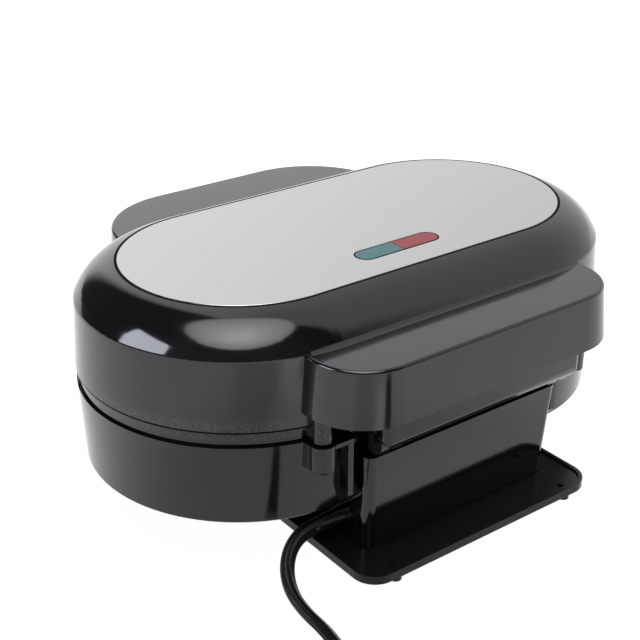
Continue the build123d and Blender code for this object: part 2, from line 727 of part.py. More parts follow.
def plug_body():
    """Two-pin plug lying on its flat side, its cord end towards +Y."""
    out_x = COIL_CENTRE[0] + COIL_MID_R
    neck = Pos(out_x, PLUG_Y, CORD_D / 2) * Rot(90, 0, 0) * extrude(Circle(4.0), 10, taper=-4)
    grip = Pos(out_x, PLUG_Y - 18, 5.6) * Box(20, 18, 11.2)
    grip = fillet(grip.edges().filter_by(Axis.Z), 5.0)
    return (neck & box((0, 300), (0, 300), (0, 40))) + grip


def plug_pins():
    out_x = COIL_CENTRE[0] + COIL_MID_R
    pins = [box((out_x + s * 6.35 - 0.75, out_x + s * 6.35 + 0.75), (PLUG_Y - 43.5, PLUG_Y - 27),
                (2.4, 8.7)) for s in (-1, 1)]
    return apart(pins)


# ---- write every node --------------------------------------------------------------------------
lid_screw_places = [(BOSS_X, BOSS_Y), (-BOSS_X, BOSS_Y)]
handle_screw_places = [HANDLE_SCREWS, (-HANDLE_SCREWS[0], HANDLE_SCREWS[1])]
plate_screws = screws(PLATE_POSTS, REFLECTOR_H - SHEET, 6.5, shank_r=1.45)

save("lid_shell", lid_shell())
save("lid_frame", lid_frame())
save("lid_screws", screws(lid_screw_places, LID_LOW + 1.8, 14, head_r=2.5, shank_r=1.25)
     + screws(handle_screw_places, 71.0, 12))
save("top_trim_plate", top_trim_plate())
save("ready_lens", lens(1))
save("power_lens", lens(-1))
save("lamp_bracket", lamp_bracket())
save("indicator_lamps", indicator_lamps())
lower_plate = cooking_plate()
save("lower_cooking_plate", lower_plate)
save("upper_cooking_plate", upside_down(lower_plate))
element = heating_element()
save("lower_heating_element", element)
save("upper_heating_element", upside_down(element))
pan = reflector()
save("lower_reflector", pan)
save("upper_reflector", upside_down(pan))
save("lower_plate_screws", plate_screws)
save("upper_plate_screws", upside_down(plate_screws))
save("lower_shell", lower_shell())
save("pedestal", pedestal())
save("latch_catch", latch_catch())
save("neck_screws", upright(screws(NECK_SCREWS, 0, 9), TUB_BOTTOM + WALL))
save("base_plate", base_plate())
save("base_screws", screws(BASE_SCREWS, FEET_H + 0.9, 14))
save("lower_frame", lower_frame())
save("thermostat", thermostat())
save("thermal_fuse", thermal_fuse())
save("terminal_block", terminal_block())
save("hinge_pins", hinge_pins())
save("latch", latch())
save("latch_pin", latch_pin())
save("strain_relief", strain_relief())
export_step(power_cord(), "parts/power_cord.step")
export_step(cord_coil(), "parts/cord_coil.step")
export_step(plug_body(), "parts/plug_body.step")
export_step(plug_pins(), "parts/plug_pins.step")
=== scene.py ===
import math

import bmesh
import bpy
from mathutils import Matrix, Vector


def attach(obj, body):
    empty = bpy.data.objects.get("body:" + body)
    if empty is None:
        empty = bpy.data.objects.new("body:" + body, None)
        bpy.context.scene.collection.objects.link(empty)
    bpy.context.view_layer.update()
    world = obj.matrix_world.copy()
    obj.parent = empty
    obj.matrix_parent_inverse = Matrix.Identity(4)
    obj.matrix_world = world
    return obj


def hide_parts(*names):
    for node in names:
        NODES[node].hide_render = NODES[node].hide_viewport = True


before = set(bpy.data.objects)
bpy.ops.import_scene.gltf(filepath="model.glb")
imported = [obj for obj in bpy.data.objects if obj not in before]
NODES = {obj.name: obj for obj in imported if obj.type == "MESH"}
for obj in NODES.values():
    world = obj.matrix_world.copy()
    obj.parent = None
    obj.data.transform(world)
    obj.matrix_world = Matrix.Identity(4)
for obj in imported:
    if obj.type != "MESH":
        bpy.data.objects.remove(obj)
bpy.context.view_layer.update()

MM = 0.001


# ---- objects and pieces ------------------------------------------------------------------------
def add_object(name, data):
    """Put a new object into the scene."""
    thing = bpy.data.objects.new(name, data)
    bpy.context.scene.collection.objects.link(thing)
    return thing


def mesh_object(name, mesh):
    """Turn a bmesh into an object."""
    data = bpy.data.meshes.new(name)
    mesh.to_mesh(data)
    mesh.free()
    return add_object(name, data)


def new_piece(name, mesh, body, smooth=True):
    """Turn a bmesh into an object that rides on a body."""
    piece = mesh_object(name, mesh)
    for face in piece.data.polygons:
        face.use_smooth = smooth
    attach(piece, body)
    return piece


def only(made, kind):
    """The vertices or the edges among what an operator made."""
    return [item for item in made["geom"] if isinstance(item, kind)]


# ---- camera ------------------------------------------------------------------------------------
SENSOR_WIDTH = 36.0                         # mm
CAMERA_LENS = 71.65                         # mm
CAMERA_PLACE = Vector((0.3039, 0.3912, 0.2984))
CAMERA_YAW = math.radians(180 - 37.043)     # about +Z, from looking along +Y
CAMERA_PITCH = math.radians(90 - 25.923)    # upwards, from looking straight down
CAMERA_ROLL = math.radians(0.114)           # about the line of sight
CAMERA_AZIMUTH = math.atan2(CAMERA_PLACE.y, CAMERA_PLACE.x)


def make_camera():
    data = bpy.data.cameras.new("camera")
    data.sensor_width = SENSOR_WIDTH
    data.lens = CAMERA_LENS
    data.clip_start = 0.01
    data.clip_end = 50.0
    camera = add_object("camera", data)
    turn = Matrix.Rotation(CAMERA_YAW, 4, "Z") @ Matrix.Rotation(CAMERA_PITCH, 4, "X")
    turn = turn @ Matrix.Rotation(CAMERA_ROLL, 4, "Z")
    camera.matrix_world = Matrix.Translation(CAMERA_PLACE) @ turn
    bpy.context.scene.camera = camera


make_camera()


# ---- cord --------------------------------------------------------------------------------------
# A flat two-core mains cord that leaves the neck standing on its edge, and keeps on its edge.
CORD_WIDTH = 7.0 * MM
CORD_THICK = 4.4 * MM
CORD_GROOVE = 0.45 * MM                     # depth of the groove between the cores
CORD_TILT = math.radians(90)                # stands the section on its edge
SPAN_STEPS = 8                              # between two points of the cord
CORE_STEPS = 8                              # round the outer half of each core
ROUTE = [
    (0.0590, 0.0686, 0.0152),
    (0.0680, 0.0686, 0.0152),
    (0.0768, 0.0720, 0.0130),
    (0.0834, 0.0786, 0.0094),
    (0.0870, 0.0872, 0.0060),
    (0.0878, 0.0968, 0.0040),
    (0.0876, 0.1078, 0.0035),
    (0.0895, 0.1184, 0.0035),
    (0.0895, 0.1280, 0.0035),
]
LEAD_IN = (0.0920, 0.1450, 0.0035)
# Degrees that the cord leans outwards, at each point of the route and at the lead in.
LEAN = [0, 0, 12, 28, 36, 38, 40, 40, 30, 15]
COIL_CENTRE = (0.128, 0.163)
COIL_POINTS_PER_TURN = 16
# The coil's lie: turns from its start, distance from its middle, height. It spirals outwards on
# the table, and climbs over the straight that leads in each time it comes round to it.
COIL_LIE = [
    (0.00, 33.0 * MM, 3.5 * MM),
    (0.65, 33.2 * MM, 3.5 * MM),
    (0.88, 35.5 * MM, 10.5 * MM),
    (1.05, 37.5 * MM, 10.5 * MM),
    (1.28, 37.5 * MM, 3.5 * MM),
    (1.65, 37.8 * MM, 3.5 * MM),
    (1.88, 40.5 * MM, 10.5 * MM),
    (2.05, 42.0 * MM, 10.5 * MM),
    (2.28, 42.0 * MM, 3.5 * MM),
    (2.50, 42.0 * MM, 3.5 * MM),
]
LEAD_OUT = [(0.1692, 0.1505, 0.0035), (0.1670, 0.1410, 0.0035), (0.1665, 0.1280, 0.0035)]


def coil_points():
    """Points of the coil's turns, clockwise from its -X side."""
    points = []
    for step in range(int(COIL_LIE[-1][0] * COIL_POINTS_PER_TURN) + 1):
        turns = step / COIL_POINTS_PER_TURN
        before, after = next(pair for pair in zip(COIL_LIE, COIL_LIE[1:]) if turns <= pair[1][0])
        share = (turns - before[0]) / (after[0] - before[0])
        ease = share * share * (3 - 2 * share)
        radius, height = (before[i] + ease * (after[i] - before[i]) for i in (1, 2))
        angle = math.pi - 2 * math.pi * turns
        points.append((COIL_CENTRE[0] + radius * math.cos(angle),
                       COIL_CENTRE[1] + radius * math.sin(angle), height))
    return points


def cord_section():
    """Outline of the flat cord, two round cores side by side with a shallow groove between them.

    It is drawn with half the cord's width as 1, and each point of the cord scales it."""
    core = CORD_THICK / CORD_WIDTH
    apart = 1.0 - core
    points = []
    for side in (1, -1):
        for step in range(CORE_STEPS + 1):
            angle = math.pi * (step / CORE_STEPS - 0.5)
            points.append((side * (apart + core * math.cos(angle)), side * core * math.sin(angle)))
        points.append((0.0, side * (core - 2 * CORD_GROOVE / CORD_WIDTH)))
    data = bpy.data.curves.new("cord_section", "CURVE")
    spline = data.splines.new("POLY")
    spline.points.add(len(points) - 1)
    for point, (x, y) in zip(spline.points, points):
        point.co = (x, y, 0, 1)
    spline.use_cyclic_u = True
    section = add_object("cord_section", data)
    section.hide_render = True
    return section


def make_cord():
    """The mains cord, from inside the strain relief through its coil to the plug."""
    points = ROUTE + [LEAD_IN] + coil_points() + LEAD_OUT
    data = bpy.data.curves.new("mains_cord", "CURVE")
    data.dimensions = "3D"
    data.twist_mode = "Z_UP"
    data.resolution_u = SPAN_STEPS
    spline = data.splines.new("NURBS")
    spline.points.add(len(points) - 1)
    for point, place in zip(spline.points, points):
        point.co = (*place, 1)
        point.radius = CORD_WIDTH / 2
        point.tilt = CORD_TILT
    for point, lean in zip(spline.points, LEAN):
        point.tilt = CORD_TILT + math.radians(lean)
    spline.order_u = 3
    spline.use_endpoint_u = True
    spline.use_smooth = True
    data.bevel_mode = "OBJECT"
    data.bevel_object = cord_section()
    data.use_fill_caps = True
    return add_object("mains_cord", data)


RELIEF_START = 43.2 * MM                    # x, inside the neck's wall
RELIEF_SIDES = 32
# Outline of the strain relief: distance from its start, half its height, half its thickness.
RELIEF_OUTLINE = [
    (0.0 * MM, 5.2 * MM, 5.2 * MM),
    (1.9 * MM, 5.2 * MM, 5.2 * MM),
    (2.0 * MM, 4.5 * MM, 4.4 * MM),
    (6.0 * MM, 4.3 * MM, 3.7 * MM),
    (12.0 * MM, 3.9 * MM, 2.8 * MM),
    (18.5 * MM, 3.55 * MM, 2.3 * MM),
    (20.3 * MM, 3.3 * MM, 2.0 * MM),
]


def make_strain_relief():
    """Tapered sleeve round the cord, drawn ring by ring from inside the neck's wall to its tip."""
    mesh = bmesh.new()
    bmesh.ops.create_circle(mesh, cap_ends=True, segments=RELIEF_SIDES, radius=1.0)
    bmesh.ops.rotate(mesh, verts=mesh.verts, cent=(0, 0, 0),
                     matrix=Matrix.Rotation(math.pi / 2, 3, "Y"))
    ring, rim = list(mesh.verts), list(mesh.edges)
    along, height, thick = 0.0, 1.0, 1.0
    for count, (next_along, next_height, next_thick) in enumerate(RELIEF_OUTLINE):
        if count:
            made = bmesh.ops.extrude_edge_only(mesh, edges=rim)
            ring, rim = only(made, bmesh.types.BMVert), only(made, bmesh.types.BMEdge)
        bmesh.ops.scale(mesh, verts=ring, vec=(1, next_thick / thick, next_height / height))
        bmesh.ops.translate(mesh, verts=ring, vec=(next_along - along, 0, 0))
        along, height, thick = next_along, next_height, next_thick
    bmesh.ops.edgeloop_fill(mesh, edges=rim)
    bmesh.ops.translate(mesh, verts=mesh.verts, vec=(RELIEF_START, ROUTE[0][1], ROUTE[0][2]))
    bmesh.ops.recalc_face_normals(mesh, faces=mesh.faces)
    return new_piece("cord_strain_relief", mesh, "base")


CORD = make_cord()
RELIEF = make_strain_relief()
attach(CORD, "base")
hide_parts("power_cord", "cord_coil")
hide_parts("strain_relief")


# ---- painted shade in the gaps -----------------------------------------------------------------
STRAIGHT = 53.4 * MM                        # half the straight side of every racetrack outline
BODY_Y = 8.2 * MM                           # middle of every racetrack outline
RING_SIDES = 128


def racetrack_ring(name, body, outer, inner, low, high, straight=STRAIGHT, middle=BODY_Y):
    """A band round a racetrack outline, between two radii and two heights.

    It starts as a circle, which is drawn apart at the middle by the straight sides."""
    mesh = bmesh.new()
    bmesh.ops.create_circle(mesh, segments=RING_SIDES, radius=outer)
    bmesh.ops.rotate(mesh, verts=mesh.verts, matrix=Matrix.Rotation(math.pi / RING_SIDES, 3, "Z"))
    made = bmesh.ops.extrude_edge_only(mesh, edges=mesh.edges)
    bmesh.ops.scale(mesh, verts=only(made, bmesh.types.BMVert),
                    vec=(inner / outer, inner / outer, 1))
    for side in (1, -1):
        half = [vert for vert in mesh.verts if vert.co.x * side > 0]
        bmesh.ops.translate(mesh, verts=half, vec=(side * straight, 0, 0))
    made = bmesh.ops.extrude_face_region(mesh, geom=mesh.faces[:])
    bmesh.ops.translate(mesh, verts=only(made, bmesh.types.BMVert), vec=(0, 0, high - low))
    bmesh.ops.translate(mesh, verts=mesh.verts, vec=(0, middle, low))
    bmesh.ops.recalc_face_normals(mesh, faces=mesh.faces)
    return new_piece(name, mesh, body, smooth=False)


# Painted shade: thin matt black rings in the gaps round the steel panel, at the lid's seam and
# round the window. They stand in for the shade in those gaps.
GAP_SHADE_STRIPS = [
    racetrack_ring("panel_gap_shade", "lid", outer=49.0 * MM, inner=47.95 * MM,
                   low=104.5 * MM, high=105.28 * MM),
    racetrack_ring("seam_gap_shade", "lid", outer=66.75 * MM, inner=65.3 * MM,
                   low=63.35 * MM, high=64.3 * MM),
    racetrack_ring("window_gap_shade", "lid", outer=4.95 * MM, inner=4.35 * MM,
                   low=104.5 * MM, high=105.44 * MM,
                   straight=15.55 * MM, middle=30.7 * MM + BODY_Y),
]


# ---- rounded back corners ----------------------------------------------------------------------
ROUND = 4.0 * MM                            # radius of the neck's and the skirt's back corners
ROUND_STEPS = 12
TUBE_WALL = 0.6 * ROUND                     # more than rounding takes off a square corner
MERGE = 0.001 * MM                          # joins the loose triangles of a CAD mesh
SHARP = math.radians(30)                    # a steeper edge stays sharp
# Each end of a corner: half the width between the two corners, the back face's y, the height.
# The neck's sides and back lean outwards from its foot to its top; the skirt's stand upright.
NECK_FOOT = (47.52 * MM, 73.29 * MM + BODY_Y, 4.0 * MM)
NECK_TOP = (49.70 * MM, 76.13 * MM + BODY_Y, 49.1 * MM)
SKIRT_FOOT = (50.2 * MM, 87.1 * MM + BODY_Y, 50.0 * MM)
SKIRT_TOP = (50.2 * MM, 87.1 * MM + BODY_Y, 70.9 * MM)


def corner_tool(low, high):
    """What rounding takes off the two back corners, as a quarter of a thick tube on each."""
    mesh = bmesh.new()
    middle = (low[2] + high[2]) / 2
    verts = bmesh.ops.create_grid(mesh, x_segments=1, y_segments=1, size=0.5)["verts"]
    bmesh.ops.scale(mesh, verts=verts, vec=(TUBE_WALL, high[2] - low[2], 1))
    bmesh.ops.rotate(mesh, verts=verts, cent=(0, 0, 0), matrix=Matrix.Rotation(math.pi / 2, 3, "X"))
    bmesh.ops.translate(mesh, verts=verts, vec=(ROUND + TUBE_WALL / 2, 0, middle))
    bmesh.ops.spin(mesh, geom=mesh.verts[:] + mesh.edges[:] + mesh.faces[:], cent=(0, 0, 0),
                   axis=(0, 0, 1), dvec=(0, 0, 0), angle=math.pi / 2, steps=ROUND_STEPS,
                   use_merge=False)
    top = [vert for vert in mesh.verts if vert.co.z > middle]
    bmesh.ops.translate(mesh, verts=mesh.verts, vec=(low[0] - ROUND, low[1] - ROUND, 0))
    bmesh.ops.translate(mesh, verts=top, vec=(high[0] - low[0], high[1] - low[1], 0))
    bmesh.ops.mirror(mesh, geom=mesh.verts[:] + mesh.edges[:] + mesh.faces[:], axis="X",
                     merge_dist=0)
    bmesh.ops.recalc_face_normals(mesh, faces=mesh.faces)
    return mesh_object("corner_tool", mesh)


def rounded_copy(node, body, low, high):
    """A CAD piece again, with its two back corners rounded."""
    mesh = bmesh.new()
    mesh.from_mesh(NODES[node].data)
    bmesh.ops.remove_doubles(mesh, verts=mesh.verts, dist=MERGE)
    piece = new_piece(node + "_rounded", mesh, body)
    # The stored normals belong to the uncut shape.
    piece.data.attributes.remove(piece.data.attributes["custom_normal"])
    tool = corner_tool(low, high)
    cut = piece.modifiers.new("corners", "BOOLEAN")
    cut.operation = "DIFFERENCE"
    cut.solver = "EXACT"
    cut.object = tool
    settled = piece.evaluated_get(bpy.context.evaluated_depsgraph_get())
    shape = bpy.data.meshes.new_from_object(settled)
    piece.modifiers.clear()
    piece.data = shape
    bpy.data.objects.remove(tool)
    shape.materials.clear()
    shape.set_sharp_from_angle(angle=SHARP)
    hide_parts(node)
    return piece


ROUNDED = [
    rounded_copy("pedestal", "base", NECK_FOOT, NECK_TOP),
    rounded_copy("lid_frame", "lid", SKIRT_FOOT, SKIRT_TOP),
]


# ---- materials ---------------------------------------------------------------------------------
def linear(code):
    """A colour written as sRGB hex, in the linear values that Blender wants."""
    parts = [int(code[i:i + 2], 16) / 255 for i in (1, 3, 5)]
    return (*[c / 12.92 if c <= 0.04045 else ((c + 0.055) / 1.055) ** 2.4 for c in parts], 1.0)


def add_node(tree, kind, inputs=None, **settings):
    """Add one node. Its inputs, by name or number, take a value or a link from another socket."""
    node = tree.nodes.new(kind)
    for key, value in settings.items():
        setattr(node, key, value)
    for key, value in (inputs or {}).items():
        if isinstance(value, bpy.types.NodeSocket):
            tree.links.new(value, node.inputs[key])
        else:
            node.inputs[key].default_value = value
    return node


def new_material(name, **shader_values):
    """A material whose uniform values sit on the shader's own sockets.

    With it come its node tree, its shader and the Object coordinates."""
    material = bpy.data.materials.new(name)
    material.use_nodes = True
    tree = material.node_tree
    shader = tree.nodes["Principled BSDF"]
    for key, value in shader_values.items():
        shader.inputs[key.replace("_", " ")].default_value = value
    place = add_node(tree, "ShaderNodeTexCoord").outputs["Object"]
    return material, tree, shader, place


NOISE_LOW, NOISE_HIGH = 0.3, 0.7            # a noise pattern seldom leaves this range
WAVE_SIZE = 18 * MM                         # from one sink in a large moulding to the next
HAZE_SIZE = 25 * MM                         # about a fingertip's smear
ETCHED_LOW = 60 * MM                        # the lid's lowest band is etched from here
ETCHED_HIGH = 69.5 * MM                     # to here, where it fades out
ETCHED_FADE = 2.5 * MM
SKIRT_FRONT = 88 * MM                       # the hinge skirt, behind this, is plain
SPECK_SIZE = 1.0 * MM                       # real etching is finer; this is as fine as shows


def gloss_abs():
    """ABS moulded in a polished tool: black and mirror-like. A large moulding is never quite flat,
    so its mirror images waver a little, and handling leaves a faint haze. The lid's lowest band is
    etched in the tool and glitters faintly."""
    material, tree, shader, place = new_material("ABS_gloss_moulded", IOR=1.54)
    waves = add_node(tree, "ShaderNodeTexNoise", {
        "Vector": place, "Scale": 1 / WAVE_SIZE, "Detail": 1.0})
    bump = add_node(tree, "ShaderNodeBump", {
        "Height": waves.outputs["Fac"], "Strength": 1.0, "Distance": 0.012 * MM})
    parts = add_node(tree, "ShaderNodeSeparateXYZ", {0: place})
    height = parts.outputs["Z"]
    above = add_node(tree, "ShaderNodeMapRange", {
        "Value": height, "From Min": ETCHED_HIGH, "From Max": ETCHED_HIGH - ETCHED_FADE})
    below = add_node(tree, "ShaderNodeMath", {0: height, 1: ETCHED_LOW}, operation="GREATER_THAN")
    ahead = add_node(tree, "ShaderNodeMath", {0: parts.outputs["Y"], 1: SKIRT_FRONT},
                     operation="LESS_THAN")
    inside = add_node(tree, "ShaderNodeMath", {0: below.outputs[0], 1: ahead.outputs[0]},
                      operation="MULTIPLY")
    band = add_node(tree, "ShaderNodeMath", {0: above.outputs["Result"], 1: inside.outputs[0]},
                    operation="MULTIPLY")
    etching = add_node(tree, "ShaderNodeTexNoise", {
        "Vector": place, "Scale": 1 / SPECK_SIZE, "Detail": 2.0})
    specks = add_node(tree, "ShaderNodeMapRange", {
        "Value": etching.outputs["Fac"], "From Min": 0.48, "From Max": 0.68,
        "To Min": 0.1, "To Max": 1.0})
    etched = add_node(tree, "ShaderNodeMath", {0: band.outputs[0], 1: specks.outputs["Result"]},
                      operation="MULTIPLY")
    tint = add_node(tree, "ShaderNodeMix", {
        "Factor": etched.outputs[0], "A": linear("#09090b"), "B": linear("#303033")},
        data_type="RGBA")
    haze = add_node(tree, "ShaderNodeTexNoise", {
        "Vector": place, "Scale": 1 / HAZE_SIZE, "Detail": 4.0})
    rough = add_node(tree, "ShaderNodeMapRange", {
        "Value": haze.outputs["Fac"], "From Min": NOISE_LOW, "From Max": NOISE_HIGH,
        "To Min": 0.07, "To Max": 0.12})
    tree.links.new(tint.outputs["Result"], shader.inputs["Base Color"])
    tree.links.new(bump.outputs["Normal"], shader.inputs["Normal"])
    tree.links.new(rough.outputs["Result"], shader.inputs["Roughness"])
    return material


def fine_plastic(name, colour, ior, specular, grain_size, detail, relief, rough_low, rough_high):
    """Plastic whose fine grain lifts the surface a little and breaks up its polish.

    Relief is the strength and the depth of the grain."""
    material, tree, shader, place = new_material(
        name, Base_Color=linear(colour), IOR=ior, Specular_IOR_Level=specular)
    grain = add_node(tree, "ShaderNodeTexNoise", {
        "Vector": place, "Scale": 1 / grain_size, "Detail": detail})
    bump = add_node(tree, "ShaderNodeBump", {
        "Height": grain.outputs["Fac"], "Strength": relief[0], "Distance": relief[1]})
    rough = add_node(tree, "ShaderNodeMapRange", {
        "Value": grain.outputs["Fac"], "From Min": NOISE_LOW, "From Max": NOISE_HIGH,
        "To Min": rough_low, "To Max": rough_high})
    tree.links.new(bump.outputs["Normal"], shader.inputs["Normal"])
    tree.links.new(rough.outputs["Result"], shader.inputs["Roughness"])
    return material


BRUSH_LINE = 0.25 * MM                      # real hairlines are finer; this is as fine as shows
BRUSH_LENGTH = 24 * MM


def brushed_stainless():
    """Stainless sheet brushed along its length: fine hairlines that draw the light out sideways."""
    material, tree, shader, place = new_material(
        "stainless_steel_brushed", Base_Color=linear("#b1b0ae"), Metallic=1.0)
    stretched = add_node(tree, "ShaderNodeMapping", {
        "Vector": place, "Scale": (1, BRUSH_LENGTH / BRUSH_LINE, 1)})
    lines = add_node(tree, "ShaderNodeTexNoise", {
        "Vector": stretched.outputs["Vector"], "Scale": 1 / BRUSH_LENGTH, "Detail": 3.0})
    bump = add_node(tree, "ShaderNodeBump", {
        "Height": lines.outputs["Fac"], "Strength": 0.5, "Distance": 0.003 * MM})
    rough = add_node(tree, "ShaderNodeMapRange", {
        "Value": lines.outputs["Fac"], "From Min": NOISE_LOW, "From Max": NOISE_HIGH,
        "To Min": 0.16, "To Max": 0.24})
    tree.links.new(bump.outputs["Normal"], shader.inputs["Normal"])
    tree.links.new(rough.outputs["Result"], shader.inputs["Roughness"])
    return material


PRISM_SCALE = 1 / (6.3 * MM)                # a wave repeats at 0.314 / scale: prisms 2 mm wide


def tinted_lens(name, deep, pale):
    """Tinted polycarbonate, clear on top and moulded in fine prisms beneath, over an unlit lamp."""
    material, tree, shader, place = new_material(
        name, IOR=1.585, Roughness=0.08, Specular_IOR_Level=0.17)
    prisms = add_node(tree, "ShaderNodeTexWave", {
        "Vector": place, "Scale": PRISM_SCALE, "Distortion": 0.0}, bands_direction="Y")
    tint = add_node(tree, "ShaderNodeMix", {
        "Factor": prisms.outputs["Fac"], "A": linear(deep), "B": linear(pale)}, data_type="RGBA")
    tree.links.new(tint.outputs["Result"], shader.inputs["Base Color"])
    return material


MICA_SIZE = 1.6 * MM                        # real mica lies closer; this is as fine as shows
PEEL_SIZE = 1.8 * MM                        # a sprayed coat's orange peel


def nonstick_coating():
    """PTFE sprayed on die-cast aluminium: charcoal, with pale mica specks and some orange peel."""
    material, tree, shader, place = new_material("aluminium_cast_PTFE_sprayed", IOR=1.38)
    specks = add_node(tree, "ShaderNodeTexVoronoi", {"Vector": place, "Scale": 1 / MICA_SIZE})
    fleck = add_node(tree, "ShaderNodeMapRange", {
        "Value": specks.outputs["Distance"], "From Min": 0.10, "From Max": 0.16,
        "To Min": 1.0, "To Max": 0.0})
    tint = add_node(tree, "ShaderNodeMix", {
        "Factor": fleck.outputs["Result"], "A": linear("#232325"), "B": linear("#6a6a6c")},
        data_type="RGBA")
    peel = add_node(tree, "ShaderNodeTexNoise", {
        "Vector": place, "Scale": 1 / PEEL_SIZE, "Detail": 2.0})
    bump = add_node(tree, "ShaderNodeBump", {
        "Height": peel.outputs["Fac"], "Strength": 0.6, "Distance": 0.04 * MM})
    rough = add_node(tree, "ShaderNodeMapRange", {
        "Value": peel.outputs["Fac"], "From Min": NOISE_LOW, "From Max": NOISE_HIGH,
        "To Min": 0.30, "To Max": 0.40})
    tree.links.new(tint.outputs["Result"], shader.inputs["Base Color"])
    tree.links.new(bump.outputs["Normal"], shader.inputs["Normal"])
    tree.links.new(rough.outputs["Result"], shader.inputs["Roughness"])
    return material


def worn_metal(name, light, dark, patch_size, rough_low, rough_high):
    """Bare or plated metal whose tint and polish drift from patch to patch."""
    material, tree, shader, place = new_material(name, Metallic=1.0)
    drift = add_node(tree, "ShaderNodeTexNoise", {
        "Vector": place, "Scale": 1 / patch_size, "Detail": 4.0})
    tint = add_node(tree, "ShaderNodeMix", {
        "Factor": drift.outputs["Fac"], "A": linear(dark), "B": linear(light)}, data_type="RGBA")
    rough = add_node(tree, "ShaderNodeMapRange", {
        "Value": drift.outputs["Fac"], "From Min": NOISE_LOW, "From Max": NOISE_HIGH,
        "To Min": rough_low, "To Max": rough_high})
    tree.links.new(tint.outputs["Result"], shader.inputs["Base Color"])
    tree.links.new(rough.outputs["Result"], shader.inputs["Roughness"])
    return material


def grained_moulding(name, light, dark, grain_size, rough_value, ior):
    """An inner moulding: mottled in colour as unpigmented or filled resin is, with a fine grain."""
    material, tree, shader, place = new_material(name, IOR=ior, Roughness=rough_value)
    grain = add_node(tree, "ShaderNodeTexNoise", {
        "Vector": place, "Scale": 1 / grain_size, "Detail": 4.0})
    tint = add_node(tree, "ShaderNodeMix", {
        "Factor": grain.outputs["Fac"], "A": linear(dark), "B": linear(light)}, data_type="RGBA")
    bump = add_node(tree, "ShaderNodeBump", {
        "Height": grain.outputs["Fac"], "Strength": 0.5, "Distance": 0.03 * MM})
    tree.links.new(tint.outputs["Result"], shader.inputs["Base Color"])
    tree.links.new(bump.outputs["Normal"], shader.inputs["Normal"])
    return material


SMOKE_SIZE = 3 * MM                         # the tint's drift along a lamp's tube


def lamp_glass():
    """Drawn glass tube of a neon lamp, unlit: clear, with its orange gas tint just showing."""
    material, tree, shader, place = new_material(
        "glass_drawn", IOR=1.50, Transmission_Weight=0.85, Roughness=0.03)
    smoke = add_node(tree, "ShaderNodeTexNoise", {
        "Vector": place, "Scale": 1 / SMOKE_SIZE, "Detail": 2.0})
    tint = add_node(tree, "ShaderNodeMix", {
        "Factor": smoke.outputs["Fac"], "A": linear("#f2e6da"), "B": linear("#fbf7f2")},
        data_type="RGBA")
    tree.links.new(tint.outputs["Result"], shader.inputs["Base Color"])
    return material


DUST_SIZE = 1.0 * MM                        # real dust is finer; this is as fine as shows


def gap_shade_black():
    """Matt black for the strips of painted shade in the gaps: it takes up the light, so each gap
    reads as a dark line.
    """
    material, tree, shader, place = new_material(
        "matt_black_painted_gap_shade", Base_Color=linear("#050505"), IOR=1.41, Specular_IOR_Level=0.1)
    dust = add_node(tree, "ShaderNodeTexNoise", {
        "Vector": place, "Scale": 1 / DUST_SIZE, "Detail": 3.0})
    rough = add_node(tree, "ShaderNodeMapRange", {
        "Value": dust.outputs["Fac"], "From Min": NOISE_LOW, "From Max": NOISE_HIGH,
        "To Min": 0.7, "To Max": 0.9})
    tree.links.new(rough.outputs["Result"], shader.inputs["Roughness"])
    return material


ABS = gloss_abs()
# Matt black for the painted shade in the gaps.
GAP_SHADE_BLACK = gap_shade_black()
# Glass-filled PBT from a fine spark-eroded tool: a dull dark grey with a tight grain.
# The real grain is finer; this is as fine as shows.
PBT = fine_plastic("PBT_satin_moulded", "#1b1b1c", ior=1.57, specular=0.5, grain_size=0.5 * MM,
                   detail=3.0, relief=(0.6, 0.03 * MM), rough_low=0.34, rough_high=0.44)
# Polypropylene from a stoned tool: near black, with a soft blurred mirror.
# The real grain is finer; this is as fine as shows.
PP = fine_plastic("polypropylene_semigloss_moulded", "#0e0e0f", ior=1.49, specular=0.25,
                  grain_size=1.2 * MM, detail=3.0, relief=(0.5, 0.004 * MM),
                  rough_low=0.20, rough_high=0.25)
# Soft vinyl extruded over the cores: dull black, with a skin that isn't quite even.
# The real grain is finer; this is as fine as shows.
PVC = fine_plastic("PVC_soft_extruded", "#0c0c0d", ior=1.50, specular=0.28, grain_size=0.8 * MM,
                   detail=2.0, relief=(0.5, 0.002 * MM), rough_low=0.24, rough_high=0.31)
STEEL = brushed_stainless()
COATING = nonstick_coating()

# Metals: light and dark tint, size of the patches, lowest and highest roughness.
# Bright zinc on steel screws: a cool pale grey that clouds a little.
ZINC = worn_metal("steel_zinc_plated", "#c3c6cb", "#9da1a8", 2 * MM, 0.22, 0.34)
# Ground steel pins: bright, with little drift.
PIN_STEEL = worn_metal("steel_ground", "#d2d2d4", "#b9b9bc", 1 * MM, 0.15, 0.25)
# Pressed tinplate reflectors: silvery, dulled in broad clouds.
TINPLATE = worn_metal("tinplate_pressed", "#d8d8da", "#b4b4b8", 20 * MM, 0.25, 0.40)
# The elements' steel tube, tinted by its own heat: patches from straw grey to brown.
SHEATH = worn_metal("steel_tube_heat_tinted", "#a39a90", "#5d5550", 9 * MM, 0.30, 0.45)
# Nickel-plated brass pins: a warm silver.
CONTACT = worn_metal("brass_nickel_plated", "#d9d3c4", "#bdb5a2", 3 * MM, 0.16, 0.26)

# Inner mouldings: light and dark tint, size of the grain, roughness, IOR.
# Phenolic resin with its filler: a mottled brown.
PHENOLIC = grained_moulding("phenolic_moulded", "#5b3a26", "#3c2417", 0.8 * MM, 0.35, 1.60)
# Nylon moulded without pigment: a milky off-white.
NYLON = grained_moulding("nylon_moulded_natural", "#e6e2d6", "#d3cfc2", 1.5 * MM, 0.40, 1.53)
GLASS = lamp_glass()
GREEN = tinted_lens("polycarbonate_green_tinted", "#1c4e4f", "#2c6465")
RED = tinted_lens("polycarbonate_red_tinted", "#640a10", "#86121a")

